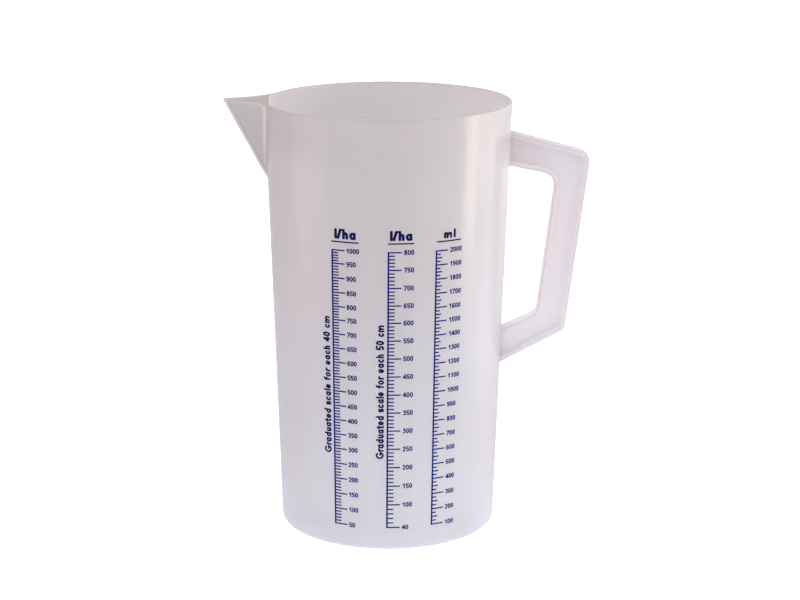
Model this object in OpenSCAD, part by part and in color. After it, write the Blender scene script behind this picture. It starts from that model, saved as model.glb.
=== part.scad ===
// Graduated pouring jug, two litre scale, with open spout and I-section handle.
// Millimetres, +Z up. The origin is the centre of the foot, on the axis of the jug.
// The handle points to +X, the spout to -X and the printed scales face -Y.

/* [Vessel] */
// Height of the rim above the table
height = 243.4; // [225:1:260]
// Outer radius at the rim
rim_r = 69; // [66:0.5:72]
// Outer radius at the foot
foot_r = 60.9; // [58:0.5:63]
// Wall thickness
wall = 2; // [1.6:0.1:2.6]
// Height of the inside floor above the table
floor_top = 5; // [4.4:0.1:6]
// Thickness of the floor
floor_t = 2; // [1.6:0.1:2.6]
// Radius of the rounded heel
heel_r = 3.5; // [2:0.5:4.5]
// Width of the flat ring the jug stands on
foot_ring = 2; // [1.5:0.1:3]
// Radius of the fillet between wall and floor on the inside
inner_fillet = 3; // [2:0.5:5]
// Chamfer of the rim's two edges
rim_chamfer = 0.4; // [0.2:0.1:0.8]

/* [Spout] */
// How far the sharp edge of the spout's prow stands from the axis at the rim
spout_reach = 92.8; // [88:0.2:97]
// How far the spout's prow runs down the wall
spout_depth = 47.4; // [40:0.2:54]
// Half angle between the spout's two side panels
spout_half = 42.7; // [39:0.1:46]
// Thickness of the side panels
spout_t = 2; // [1.6:0.1:2.4]
// Rounding of the prow edge
prow_r = 2.5; // [1:0.1:3]

/* [Handle] */
// Width of the handle's flanges
handle_w = 10.6; // [9:0.2:13]
// Thickness of the flanges
flange_t = 2.2; // [1.8:0.1:2.8]
// Thickness of the web between the flanges
web_t = 2; // [1.6:0.1:3]
// Outer top corner, distance from the axis
grip_top_x = 113.1; // [110:0.5:118]
// Outer top corner, height
grip_top_z = 214.1; // [211:0.5:217]
// Outer bottom corner, distance from the axis
grip_low_x = 100.4; // [98:0.5:104]
// Outer bottom corner, height
grip_low_z = 112.8; // [108:0.5:116]
// Finger gap top corner, distance from the axis
gap_top_x = 93.9; // [91:0.5:96]
// Finger gap top corner, height
gap_top_z = 201.7; // [199:0.5:204]
// Finger gap bottom corner, distance from the axis
gap_low_x = 84.3; // [82:0.5:87]
// Finger gap bottom corner, height
gap_low_z = 122; // [119:0.5:125]

/* [Printing] */
// Thickness of the printed ink
ink_t = 0.1; // [0.06:0.02:0.2]
// Width of the graduation lines
line_w = 0.62; // [0.5:0.02:0.8]
// Height of the numerals
digit_h = 2.7; // [2.2:0.1:3]
// Pitch from one numeral to the next
digit_w = 1.6; // [1.2:0.05:1.7]

/* [Hidden] */

milky = [0.90, 0.87, 0.91];
navy = [0.09, 0.14, 0.42];

// Growth of the wall's radius per millimetre of height, and the same as an angle
draft = (rim_r - foot_r) / height;
lean = atan(draft);

// Outer radius of the wall at a height
function r_at(z) = foot_r + draft * z;

// Inner radius of the wall at the floor
floor_r = r_at(floor_top) - wall;

// Height of the liquid's surface for a volume in millilitres, from the inside cone
function z_of(ml) =
    floor_top + (pow(3 * ml * 1000 * draft / PI + pow(floor_r, 3), 1 / 3) - floor_r) / draft;

// Points of an arc in n steps from angle a0 to a1
function arc(cx, cy, r, a0, a1, n) =
    [for (i = [0:n]) let (a = a0 + (a1 - a0) * i / n) [cx + r * cos(a), cy + r * sin(a)]];

// Solid cone on the outside of the wall, taller than the jug; trims what joins the wall
module wall_cone() {
    over = 20;
    cylinder(h = height + over, r1 = foot_r, r2 = r_at(height + over), $fn = 180);
}

// ---------- vessel ----------

// Half section: the wall, the floor and the hollow under it
module vessel_profile() {
    recess_r = foot_r - heel_r - foot_ring;
    underside = floor_top - floor_t;
    // Centres of the heel and the inside fillet, both tangent to the drafted wall
    heel_x = foot_r + draft * heel_r - heel_r / cos(lean);
    fillet_x = floor_r + draft * inner_fillet - inner_fillet / cos(lean);
    chamfer_z = height - rim_chamfer;
    polygon(concat(
        [[0, underside], [recess_r, underside], [recess_r, 0]],
        arc(heel_x, heel_r, heel_r, -90, -lean, 10),
        [[rim_r - draft * rim_chamfer, chamfer_z],
         [rim_r - rim_chamfer, height],
         [rim_r - wall + rim_chamfer, height],
         [rim_r - wall - draft * rim_chamfer, chamfer_z]],
        arc(fillet_x, floor_top + inner_fillet, inner_fillet, -lean, -90, 8),
        [[0, floor_top]]));
}

module vessel() {
    color(milky) difference() {
        rotate([0, 0, 90]) rotate_extrude($fn = 180) vessel_profile();
        // notch that lets the liquid into the spout
        on_prow() translate([0, 0, -60]) linear_extrude(height = 80)
            polygon([[panel_inner_x, 0],
                     [panel_end_x, -panel_inner_y],
                     [panel_end_x, panel_inner_y]]);
    }
}

// ---------- spout ----------

// Tilt of the prow from upright
prow_tilt = atan((spout_reach - r_at(height - spout_depth)) / spout_depth);

// Section of the panels, measured from the sharp edge of the prow: where they end,
// where their inner faces meet, and half the width across both faces at the end
panel_end_x = 42;
panel_inner_x = spout_t / sin(spout_half);
panel_outer_y = panel_end_x * tan(spout_half);
panel_inner_y = (panel_end_x - panel_inner_x) * tan(spout_half);

// Places children so that their Z axis runs up along the prow and X points into the jug
module on_prow() {
    translate([-spout_reach, 0, height]) rotate([0, -prow_tilt, 0]) children();
}

// Section across the prow: two panels that meet in a rounded edge
module spout_section() {
    round_a = 90 - spout_half;
    polygon(concat(
        arc(prow_r / sin(spout_half), 0, prow_r, 180 - round_a, 180 + round_a, 12),
        [[panel_end_x, -panel_outer_y],
         [panel_end_x, -panel_inner_y],
         [panel_inner_x, 0],
         [panel_end_x, panel_inner_y],
         [panel_end_x, panel_outer_y]]));
}

module pouring_spout() {
    // Box that keeps the part below the rim on the spout's side
    keep = [80, 80, 60];
    keep_x = -120;
    color(milky) difference() {
        intersection() {
            on_prow() linear_extrude(height = 150, center = true) spout_section();
            translate([keep_x, -keep[1] / 2, height - keep[2]]) cube(keep);
        }
        wall_cone();
    }
}

// ---------- handle ----------

// Convex outlines, anticlockwise from the lower end, which lies inside the wall's cone.
// Each corner is [x, z, corner radius].
root_x = 58;
outline = [[root_x, 90.2, 0],
           [grip_low_x, grip_low_z, 4.5],
           [grip_top_x, grip_top_z, 6],
           [root_x, 228.4, 0]];
finger_gap = [[root_x, 109.9, 0],
              [gap_low_x, gap_low_z, 6],
              [gap_top_x, gap_top_z, 8],
              [root_x, 209.06, 0]];
min_corner_r = 0.3;

function before(shape, i) = shape[(i + len(shape) - 1) % len(shape)];
function after(shape, i) = shape[(i + 1) % len(shape)];
function unit(v) = v / norm(v);

// Direction from one corner to another, and the outward normal of the side between them
function toward(from, to) = unit([to[0] - from[0], to[1] - from[1]]);
function normal(from, to) = let (along = toward(from, to)) [along[1], -along[0]];

// Moves each side of an outline by d, outward when d is positive
function grown(shape, d) = [for (i = [0:len(shape) - 1])
    let (corner = shape[i],
         n1 = normal(before(shape, i), corner),
         n2 = normal(corner, after(shape, i)),
         shift = (n1 + n2) / (1 + n1 * n2) * d)
    [corner[0] + shift[0], corner[1] + shift[1],
     corner[2] == 0 ? 0 : max(min_corner_r, corner[2] + d)]];

// Outline with its corners cut off at the tangent points and filled with circles
module rounded(shape) {
    last = len(shape) - 1;
    function point(i) = [shape[i][0], shape[i][1]];
    function back(i) = toward(shape[i], before(shape, i));
    function ahead(i) = toward(shape[i], after(shape, i));
    function half_angle(i) = acos(back(i) * ahead(i)) / 2;
    polygon([for (i = [0:last])
        let (r = shape[i][2], cut = r / tan(half_angle(i)))
        each (r == 0 ? [point(i)] : [point(i) + back(i) * cut, point(i) + ahead(i) * cut])]);
    for (i = [0:last]) if (shape[i][2] > 0) {
        r = shape[i][2];
        translate(point(i) + unit(back(i) + ahead(i)) * r / sin(half_angle(i)))
            circle(r = r, $fn = 64);
    }
}

// Plate of width w with its outline in the XZ plane, centred on it
module upright(w) {
    rotate([90, 0, 0]) linear_extrude(height = w, center = true) children();
}

// Plate between an outer and an inner outline
module frame(w, outer, inner) {
    upright(w) difference() {
        rounded(outer);
        rounded(inner);
    }
}

module handle() {
    color(milky) difference() {
        union() {
            // web
            frame(web_t, outline, finger_gap);
            // outer flange
            frame(handle_w, outline, grown(outline, -flange_t));
            // flange round the finger gap
            frame(handle_w, grown(finger_gap, flange_t), finger_gap);
        }
        wall_cone();
    }
}

// ---------- printing on the wall ----------

// An azimuth is in degrees from -Y, positive toward +X

// Degrees that a length spans round the wall at a height
function span(length, z) = length * 180 / PI / r_at(z);

// X of a point on the wall
function x_on(azimuth, z) = r_at(z) * sin(azimuth);

// Thin skin of ink on the wall between two heights
module skin(z0, z1) {
    over = 1;
    difference() {
        translate([0, 0, z0])
            cylinder(h = z1 - z0, r1 = r_at(z0) + ink_t, r2 = r_at(z1) + ink_t, $fn = 180);
        translate([0, 0, z0 - over])
            cylinder(h = z1 - z0 + 2 * over, r1 = r_at(z0 - over), r2 = r_at(z1 + over),
                     $fn = 180);
    }
}

// Shape drawn on the XZ plane and carried back onto the front of the wall
module printed(z0, z1) {
    intersection() {
        skin(z0, z1);
        translate([0, -30, 0]) rotate([90, 0, 0]) linear_extrude(height = 60) children();
    }
}

// Puts a flat shape on the wall at an azimuth and a height, reading upright
module on_wall(azimuth, z) {
    rotate([0, 0, azimuth]) translate([0, -r_at(z), z]) rotate([90 + lean, 0, 0])
        linear_extrude(height = ink_t) children();
}

// ---------- scales ----------

z_top = z_of(2000);
z_low = z_of(100);

// Azimuths of each scale's vertical line: [at 2000 ml, at 100 ml]
ml_az = [22.8, 23.3];
lha40_az = [-26.8, -28.1];
lha50_az = [0.2, -0.4];

// Millilitres that one unit of a spray rate scale stands for
lha40_ml = 2;
lha50_ml = 2.5;

// Lengths of the graduation lines
ml_long = 7.1;
ml_half = 3.7;
ml_quarter = 2.8;
rate_long = 7.2;
rate_short = 3.7;

// Wall radius at which the vertical line is line_w wide
spine_r = 65;

// Azimuth of a scale's vertical line at a height
function az_at(az, z) = az[1] + (az[0] - az[1]) * (z - z_low) / (z_top - z_low);

// Comb of graduation lines. marks holds [millilitres, length] from the lowest to the highest
module comb(az, marks) {
    last = len(marks) - 1;
    half = line_w / 2;
    low = z_of(marks[0][0]) - half;
    high = z_of(marks[last][0]) + half;
    spine = line_w * 180 / PI / spine_r;
    margin = 0.01;
    printed(low - margin, high + margin) polygon(concat(
        [[x_on(az_at(az, low), low), low]],
        [for (i = [0:last])
            let (z = z_of(marks[i][0]),
                 start = az_at(az, z),
                 root = x_on(start + spine, z),
                 tip = x_on(start + span(marks[i][1], z), z))
            each [if (i > 0) [x_on(start + spine, z - half), z - half],
                  [tip, z - half],
                  [tip, z + half],
                  if (i < last) [x_on(start + spine, z + half), z + half]]],
        [[x_on(az_at(az, high), high), high]]));
}

// A line for each rate, long at every 50 and at 40
function rate_marks(rates, ml_per_unit) = [for (v = rates)
    [v * ml_per_unit, v % 50 == 0 || v == 40 ? rate_long : rate_short]];

// A line each 25 ml, longest at the hundreds
module ml_scale() {
    color(navy) comb(ml_az, [for (v = [100:25:2000])
        [v, v % 100 == 0 ? ml_long : (v % 50 == 0 ? ml_half : ml_quarter)]]);
}

module lha40_scale() {
    color(navy) comb(lha40_az, rate_marks([50:10:1000], lha40_ml));
}

module lha50_scale() {
    color(navy) comb(lha50_az, rate_marks([each [40:12:88], each [100:10:800]], lha50_ml));
}

// ---------- numerals ----------

// Strokes that each numeral from 0 to 9 uses, in the order:
// top, upper left, upper right, middle, lower left, lower right, bottom
strokes = ["1110111", "0010010", "1011101", "1011011", "0111010",
           "1101011", "1101111", "1010010", "1111111", "1111011"];
stroke_w = digit_h * 0.16;
digit_space = 0.35;
glyph_w = digit_w - digit_space;

middle_z = digit_h / 2 - stroke_w / 2;
side_h = digit_h / 2 + stroke_w / 2;
right_x = glyph_w - stroke_w;

// Strokes in the same order, each as [x, y, width, height]
stroke_boxes = [
    [0, digit_h - stroke_w, glyph_w, stroke_w],
    [0, middle_z, stroke_w, side_h],
    [right_x, middle_z, stroke_w, side_h],
    [0, middle_z, glyph_w, stroke_w],
    [0, 0, stroke_w, side_h],
    [right_x, 0, stroke_w, side_h],
    [0, 0, glyph_w, stroke_w]];

// Numeral centred on the origin
module numeral(digit) {
    translate([-glyph_w / 2, -digit_h / 2])
        for (i = [0:6]) if (strokes[digit][i] == "1") {
            box = stroke_boxes[i];
            translate([box[0], box[1]]) square([box[2], box[3]]);
        }
}

// One number, with its left edge at an azimuth
module number(value, azimuth, z) {
    digits = str(value);
    for (i = [0:len(digits) - 1])
        on_wall(azimuth + span((i + 0.5) * digit_w, z), z) numeral(ord(digits[i]) - 48);
}

// Numbers of one scale, a set distance along the wall from its vertical line
module numbers(az, values, ml_per_unit, offset_x) {
    for (v = values) {
        z = z_of(v * ml_per_unit);
        number(v, az_at(az, z) + span(offset_x, z), z);
    }
}

module ml_numerals() {
    color(navy) numbers(ml_az, [100:100:2000], ml_per_unit = 1, offset_x = 8.4);
}

module lha40_numerals() {
    color(navy) numbers(lha40_az, [50:50:1000], lha40_ml, offset_x = 8);
}

module lha50_numerals() {
    color(navy) numbers(lha50_az, [40, each [100:50:800]], lha50_ml, offset_x = 8.3);
}

// ---------- headings ----------

// Unit letters drawn with straight strokes
letter_t = 1;
x_height = 3.7;
ascender = 5.3;
m_w = 5.4;
h_w = 3.2;
a_w = 3.2;
slash_w = 2.6;

// Heights of the letters' baseline and of the underline
head_z = z_top + 6.4;
underline_z = z_top + 4.75;

// Low legs at the given places, joined by a bar along their tops
module arch(w, legs) {
    translate([0, x_height - letter_t]) square([w, letter_t]);
    for (x = legs) translate([x, 0]) square([letter_t, x_height]);
}

module letter_l() {
    square([letter_t, ascender]);
}

module letter_m() {
    arch(m_w, [0, (m_w - letter_t) / 2, m_w - letter_t]);
}

module letter_h() {
    letter_l();
    arch(h_w, [h_w - letter_t]);
}

module letter_a() {
    difference() {
        square([a_w, x_height]);
        // closed eye
        translate([letter_t, 0.8]) square([a_w - 2 * letter_t, 0.6]);
        // opening on the left
        translate([-letter_t, 2.1]) square([a_w, 0.8]);
    }
}

module letter_slash() {
    polygon([[0, -0.6], [letter_t, -0.6], [slash_w, 5.5], [slash_w - letter_t, 5.5]]);
}

// Letter of width w centred a distance along the wall from an azimuth
module glyph(azimuth, along, w) {
    on_wall(azimuth + span(along, head_z), head_z) translate([-w / 2, 0]) children();
}

module underline(azimuth, length) {
    z = underline_z;
    left = x_on(azimuth, z);
    right = x_on(azimuth + span(length, z), z);
    printed(z - line_w / 2, z + line_w / 2)
        polygon([[left, z - 1], [right, z - 1], [right, z + 1], [left, z + 1]]);
}

module ml_heading() {
    color(navy) {
        glyph(ml_az[0], 6.8, m_w) letter_m();
        glyph(ml_az[0], 11.1, letter_t) letter_l();
        underline(ml_az[0], 15.3);
    }
}

// "l/ha", a distance along the wall from an azimuth
module rate_heading(azimuth, along) {
    glyph(azimuth, along + 0.5, letter_t) letter_l();
    glyph(azimuth, along + 3.2, slash_w) letter_slash();
    glyph(azimuth, along + 6.9, h_w) letter_h();
    glyph(azimuth, along + 11, a_w) letter_a();
    underline(azimuth - 0.5, 15.6);
}

module lha40_heading() {
    color(navy) rate_heading(lha40_az[0], along = 1.3);
}

module lha50_heading() {
    color(navy) rate_heading(lha50_az[0], along = 0.6);
}

// ---------- captions ----------

// Lengths of the word bars, as fractions of the caption, and the gap between them
words = [0.30, 0.17, 0.17, 0.09, 0.11];
word_gap = (1 - words * [1, 1, 1, 1, 1]) / 4;
function word_start(i) = i == 0 ? 0 : word_start(i - 1) + words[i - 1] + word_gap;

// Row of word-long bars that runs up the wall between two azimuths
module caption(left, right, z0, z1) {
    length = z1 - z0;
    printed(z0, z1) for (i = [0:len(words) - 1]) {
        low = z0 + length * word_start(i);
        high = low + length * words[i];
        polygon([[x_on(left, low), low], [x_on(right, low), low],
                 [x_on(right, high), high], [x_on(left, high), high]]);
    }
}

module lha40_caption() {
    color(navy) caption(left = -32.4, right = -30.2, z0 = 55, z1 = 133.6);
}

module lha50_caption() {
    color(navy) caption(left = -5.2, right = -2.6, z0 = 54, z1 = 130.7);
}

vessel();
pouring_spout();
handle();
ml_scale();
ml_numerals();
ml_heading();
lha40_scale();
lha40_numerals();
lha40_heading();
lha40_caption();
lha50_scale();
lha50_numerals();
lha50_heading();
lha50_caption();
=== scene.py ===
"""Two-litre measuring jug of milky plastic, with three scales printed in navy.

The tapered vessel stands on z = 0 around the Z axis. The spout points to -X, the handle to +X,
and the printing and the camera are on the -Y side, the front. Sizes are in millimetres; MM
turns them into metres. On the wall, phi is the angle from -X (the prow) towards -Y, and an
azimuth is the angle from -Y towards +X.
"""
import math
from collections import namedtuple
from functools import lru_cache

import bpy
import bmesh
import numpy as np
from mathutils import Vector, Matrix


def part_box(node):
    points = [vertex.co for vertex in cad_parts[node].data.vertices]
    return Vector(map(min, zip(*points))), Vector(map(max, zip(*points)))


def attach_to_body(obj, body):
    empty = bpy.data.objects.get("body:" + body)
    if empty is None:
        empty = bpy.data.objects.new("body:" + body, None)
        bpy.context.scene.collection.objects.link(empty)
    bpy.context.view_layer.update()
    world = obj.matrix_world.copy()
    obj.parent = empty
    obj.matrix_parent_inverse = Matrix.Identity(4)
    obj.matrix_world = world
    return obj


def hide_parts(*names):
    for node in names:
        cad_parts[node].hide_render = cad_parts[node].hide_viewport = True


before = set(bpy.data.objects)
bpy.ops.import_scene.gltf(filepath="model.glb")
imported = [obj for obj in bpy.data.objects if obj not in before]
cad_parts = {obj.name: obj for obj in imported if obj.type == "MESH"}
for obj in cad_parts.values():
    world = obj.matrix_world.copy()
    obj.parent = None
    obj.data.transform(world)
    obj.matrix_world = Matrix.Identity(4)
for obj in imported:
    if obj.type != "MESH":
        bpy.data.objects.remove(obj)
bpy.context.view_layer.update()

MM = 0.001


def box_mm(node):
    return [[v / MM for v in corner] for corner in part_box(node)]


# ---------------------------------------------------------------- driving sizes
vessel_hi = box_mm("vessel")[1]
HEIGHT = vessel_hi[2]
RIM_R = vessel_hi[1]
if abs(RIM_R * 2 - round(RIM_R * 2)) < 0.12:    # snaps to a half millimetre close by
    RIM_R = round(RIM_R * 2) / 2
FOOT_R = 60.9
SLOPE = (RIM_R - FOOT_R) / HEIGHT
LEAN = math.atan(SLOPE)
WALL = 2.0
FLOOR_TOP = 5.0
FLOOR_THICK = 2.0
UNDER = FLOOR_TOP - FLOOR_THICK
FLOOR_FILLET = 3.0
HEEL = 3.5                       # rounding between foot and wall
RECESS_R = FOOT_R - HEEL - 2.0   # hollow under the floor
RIM_ROUND = 0.5

# The spout is two flat panels that meet in a prow.
REACH = 92.8                     # from the axis to the tip, at the rim
DEPTH = 47.4
HALF_ANGLE = math.radians(42.7)
PANEL = 2.0                      # panel thickness
PANEL_SPAN = math.radians(40)    # phi beyond which no panel is looked for


def wall_r(z):
    return FOOT_R + SLOPE * z


# A panel's outward normal is (NORM_X, +-NORM_Y, -NORM_Z), with x counted towards the prow.
TILT = math.atan((REACH - wall_r(HEIGHT - DEPTH)) / DEPTH)
NORM_X = math.sin(HALF_ANGLE) * math.cos(TILT)
NORM_Y = math.cos(HALF_ANGLE)
NORM_Z = math.sin(HALF_ANGLE) * math.sin(TILT)
NORM_XY = math.hypot(NORM_X, NORM_Y)
FLOOR_R = wall_r(FLOOR_TOP) - WALL


def volume_z(ml):
    """Height of the surface of so many millilitres in the tapered vessel."""
    return FLOOR_TOP + ((3 * ml * 1000 * SLOPE / math.pi + FLOOR_R ** 3) ** (1 / 3) - FLOOR_R) / SLOPE


# ---------------------------------------------------------------- wall and panel surfaces
def ramp(value, start, end):
    """0 at start, 1 at end, held beyond both."""
    return min(1.0, max(0.0, (value - start) / (end - start)))


def bell(distance, width):
    return math.exp(-(distance / width) ** 2)


def wrap(phi):
    return phi if phi <= math.pi else phi - 2 * math.pi


def bisect(low, high, is_past):
    for _ in range(60):
        middle = (low + high) / 2
        if is_past(middle):
            high = middle
        else:
            low = middle
    return (low + high) / 2


def panel_level(z, inset):
    """Right side of the plane x * NORM_X + |y| * NORM_Y = level of a panel at height z."""
    return REACH * NORM_X + NORM_Z * (z - HEIGHT) - inset


def panel_r(phi, z, inset, nose):
    """Distance from the axis to a panel's plane, with the prow rounded back by nose."""
    level = panel_level(z, inset)
    sharp = max(level / NORM_X, 20.0)
    soften = nose * NORM_X / (NORM_Y * (sharp - nose))
    soft_sin = math.sqrt(math.sin(phi) ** 2 + soften * soften)
    return level / (NORM_X * math.cos(phi) + NORM_Y * soft_sin)


def blend_max(a, b, fillet):
    """Larger of two radii with a small fillet, that leaves both alone away from the crease."""
    gap = a - b
    span = 6 * fillet
    if abs(gap) > span:
        return max(a, b)
    soft = 0.5 * (a + b + math.sqrt(gap * gap + 4 * fillet * fillet))
    excess = 0.5 * (span + math.sqrt(36 * fillet * fillet + 4 * fillet * fillet)) - span
    return soft - excess * min(1.0, (abs(gap) / span) ** 2)


def waviness(phi, z):
    """Slow waviness of a moulded wall, about a hundredth of a millimetre."""
    return (0.008 * math.sin(2 * phi + 0.6 + z / 95.0) + 0.006 * math.sin(5 * phi - z / 60.0)
            + 0.004 * math.sin(9 * phi + z / 33.0))


def skin_r(phi, z):
    """Outside of the wall; the waviness dies away at the heel and at the rim."""
    fade = min(ramp(z, HEEL, HEEL + 8.0), ramp(z, HEIGHT, HEIGHT - 6.0))
    return wall_r(z) + waviness(phi, z) * fade


def near_spout(phi, z):
    return z > HEIGHT - DEPTH - 12 and abs(phi) < PANEL_SPAN


def outer_r(phi, z):
    base = skin_r(phi, z)
    if not near_spout(phi, z):
        return base
    # the panel sinks in a little around the spout's lower end
    sunk = 0.75 * bell(z - HEIGHT + DEPTH - 2.0, 6.5)
    fillet = 0.12 + 0.14 * ramp(z, 203.0, 223.0)
    return blend_max(base, panel_r(phi, z, inset=0.0, nose=0.65) - sunk, fillet)


def inner_r(phi, z):
    base = wall_r(z) - WALL
    if not near_spout(phi, z):
        return base
    return blend_max(base, panel_r(phi, z, inset=PANEL, nose=0.35), fillet=0.3)


# One side of the jug's plastic. inset and wall: how far panel and wall lie inside the outside
# surface. ridge_x and ridge_height: a low ridge on the panel near the wall.
Skin = namedtuple("Skin", "inset wall ridge_x ridge_height radius")
OUTER = Skin(0.0, 0.0, 68.1, 0.34, outer_r)
INNER = Skin(PANEL, WALL, 67.5, -0.22, inner_r)
RIDGE_LEAN = 0.022
RIDGE_HALF = 0.62


def junction(z, skin):
    """Half angle at which the panel's plane leaves the wall."""
    cosine = panel_level(z, skin.inset) / ((wall_r(z) - skin.wall) * NORM_XY)
    if cosine >= 1:
        return 0.0
    return max(0.0, math.atan2(NORM_Y, NORM_X) - math.acos(cosine))


def notch_foot(skin):
    """Height at which the prow starts out of the wall."""
    return bisect(HEIGHT - DEPTH - 15, HEIGHT, lambda z: junction(z, skin) > 0)


FOOT_OUT = notch_foot(OUTER)
FOOT_IN = notch_foot(INNER)
LIP_X = 69.5


def jug_point(phi, r, z):
    """Point at radius r, in metres."""
    x = r * math.cos(phi)
    lift = 0.0
    if x > LIP_X:
        # the lip lifts and reaches out very slightly towards its tip,
        # and the prow sinks in a little below it
        share = (x - LIP_X) / 22.0
        top = max(0.0, (z - HEIGHT + 14.0) / 14.0)
        sink = 0.28 * min(1.0, (x - LIP_X) / 8.0) * bell(z - HEIGHT + 31.0, 12.0)
        lift = 1.2 * share ** 1.3 * top
        x += 0.45 * share ** 1.5 * top - sink
    return Vector((-x, -r * math.sin(phi), z + lift)) * MM


# ---------------------------------------------------------------- mesh helpers
def finish_mesh(name, bm, sharp_angle=32.0):
    bmesh.ops.remove_doubles(bm, verts=bm.verts, dist=1e-7)
    bmesh.ops.dissolve_degenerate(bm, edges=bm.edges, dist=1e-8)
    bmesh.ops.recalc_face_normals(bm, faces=bm.faces)
    mesh = bpy.data.meshes.new(name)
    bm.to_mesh(mesh)
    bm.free()
    mesh.polygons.foreach_set("use_smooth", [True] * len(mesh.polygons))
    mesh.set_sharp_from_angle(angle=math.radians(sharp_angle))
    return link_object(name, mesh)


def link_object(name, data):
    ob = bpy.data.objects.new(name, data)
    bpy.context.scene.collection.objects.link(ob)
    return ob


def skin_rows(bm, rows):
    """Quads between each row of vertices and the next."""
    for low, high in zip(rows, rows[1:]):
        for i in range(len(low) - 1):
            bm.faces.new([low[i], low[i + 1], high[i + 1], high[i]])


def fan(bm, centre, row, flip=False):
    for a, b in zip(row, row[1:]):
        bm.faces.new([centre, b, a] if flip else [centre, a, b])


# ---------------------------------------------------------------- columns and levels of the jug
LEVELS_UP = 56                   # rows from the spout's lower end to the rim
WALL_ROWS = 26                   # rows below it
AROUND = 288
# distances of the first columns from the junction, along a wall of radius 66
NEAR = [0.0, 0.35, 0.75, 1.2, 1.8, 2.6, 3.8, 5.4, 7.4]


def wall_shares():
    """Shares of the way round the wall, from one junction to the other."""
    near = [d / (2 * math.pi * 66) for d in NEAR]
    count = AROUND - 2 * (len(NEAR) - 1)
    middle = [near[-1] + (1 - 2 * near[-1]) * i / count for i in range(1, count)]
    return near + middle + [1 - share for share in reversed(near)]


SHARES = wall_shares()

# Half of the spout's columns: shares of the way from the prow to the ridge, places across
# the ridge, then shares of the way to the wall.
TO_RIDGE = [0.013, 0.028, 0.045, 0.065, 0.09, 0.125, 0.17, 0.23,
            0.31, 0.4, 0.5, 0.6, 0.7, 0.79, 0.87, 0.94]
ACROSS_RIDGE = [-0.62, -0.46, -0.31, -0.15, 0.0, 0.15, 0.31, 0.46, 0.62]
TO_WALL = [0.3, 0.6, 0.82, 1.0]


def ridge_phi(z, across, skin):
    x = skin.ridge_x + RIDGE_LEAN * (HEIGHT - z)
    y = (panel_level(z, skin.inset) - NORM_X * x) / NORM_Y - across * NORM_X / NORM_XY
    return math.atan2(max(y, 0.0), x + across * NORM_Y / NORM_XY)


def spout_columns(z, spread, skin):
    """phi and ridge height of each column, from one junction over the prow to the other."""
    crest = ridge_phi(z, 0.0, skin)
    middle = min(max(crest, 0.72 * spread), 0.9 * spread)
    half = max(1e-5, min(abs(crest - ridge_phi(z, RIDGE_HALF, skin)),
                         0.25 * spread, 0.8 * (spread - middle)))
    start, end = middle - half, middle + half
    columns = [(start * share, 0.0) for share in TO_RIDGE]
    for across in ACROSS_RIDGE:
        turn = across / RIDGE_HALF
        height = skin.ridge_height * math.cos(turn * math.pi / 2) ** 2
        columns.append((middle + turn * half, height * ramp(z, 200.5, 209.5)))
    columns += [(end + (spread - end) * share, 0.0) for share in TO_WALL]
    return [(-phi, height) for phi, height in reversed(columns)] + [(0.0, 0.0)] + columns


def spout_levels(foot, skin):
    """Heights beside the spout, each with the half angle of the junction."""
    heights = [foot + (HEIGHT - RIM_ROUND - foot) * i / LEVELS_UP for i in range(1, LEVELS_UP + 1)]
    return [(z, junction(z, skin)) for z in heights]


LEVELS_OUT = spout_levels(FOOT_OUT, OUTER)
LEVELS_IN = spout_levels(FOOT_IN, INNER)
SPREAD_OUT = LEVELS_OUT[-1][1]
SPREAD_IN = LEVELS_IN[-1][1]


# Stations over the rim: 0 to 1 round the outer edge, 1 to 2 round the inner edge.
RIM_STEPS = [0.25, 0.5, 0.75, 1.0, 1.0001, 1.25, 1.5, 1.75]


def rim_point(phi_out, phi_in, step):
    start = jug_point(phi_out, outer_r(phi_out, HEIGHT - RIM_ROUND), 0)
    end = jug_point(phi_in, inner_r(phi_in, HEIGHT - RIM_ROUND), 0)
    inward = end - start
    length = inward.length / MM
    inward.normalize()
    if step <= 1:
        angle = step * math.pi / 2
        place = start + inward * RIM_ROUND * (1 - math.cos(angle)) * MM
        rise = RIM_ROUND * math.sin(angle)
    else:
        angle = (step - 1) * math.pi / 2
        place = start + inward * (length - RIM_ROUND + RIM_ROUND * math.sin(angle)) * MM
        rise = RIM_ROUND * math.cos(angle)
    return Vector((place.x, place.y, (HEIGHT - RIM_ROUND + rise) * MM))


def rim_rows(bm, phis_out, phis_in):
    return [[bm.verts.new(rim_point(a, b, step)) for a, b in zip(phis_out, phis_in)]
            for step in RIM_STEPS]


def prow_foot(bm, skin, z):
    return bm.verts.new(jug_point(0, skin.radius(0, z), z))


def close_seams(bm, foot_out, foot_in, rows_out, rows_in, rim):
    """Faces through the plastic where shell and spout meet, the same on both."""
    for end in (0, -1):
        last_out, last_in = foot_out, foot_in
        for row_out, row_in in zip(rows_out, rows_in):
            bm.faces.new([last_out, row_out[end], row_in[end], last_in])
            last_out, last_in = row_out[end], row_in[end]
        edge = [row[end] for row in rim]
        half = len(edge) // 2
        left = [last_out] + edge[:half]
        right = [last_in] + list(reversed(edge[half:]))
        for i in range(half):
            bm.faces.new([left[i], left[i + 1], right[i + 1], right[i]])


# ---------------------------------------------------------------- vessel
def wall_angles(spread):
    return [wrap(spread + (2 * math.pi - 2 * spread) * share) for share in SHARES]


def wall_row(bm, z, radius, spread=0.0):
    """Row round the wall, closed where spread is 0, otherwise open between the junctions."""
    return [bm.verts.new(jug_point(phi, radius(phi, z), z)) for phi in wall_angles(spread)]


def round_row(bm, r, z):
    return wall_row(bm, z, lambda phi, height: r)


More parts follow.
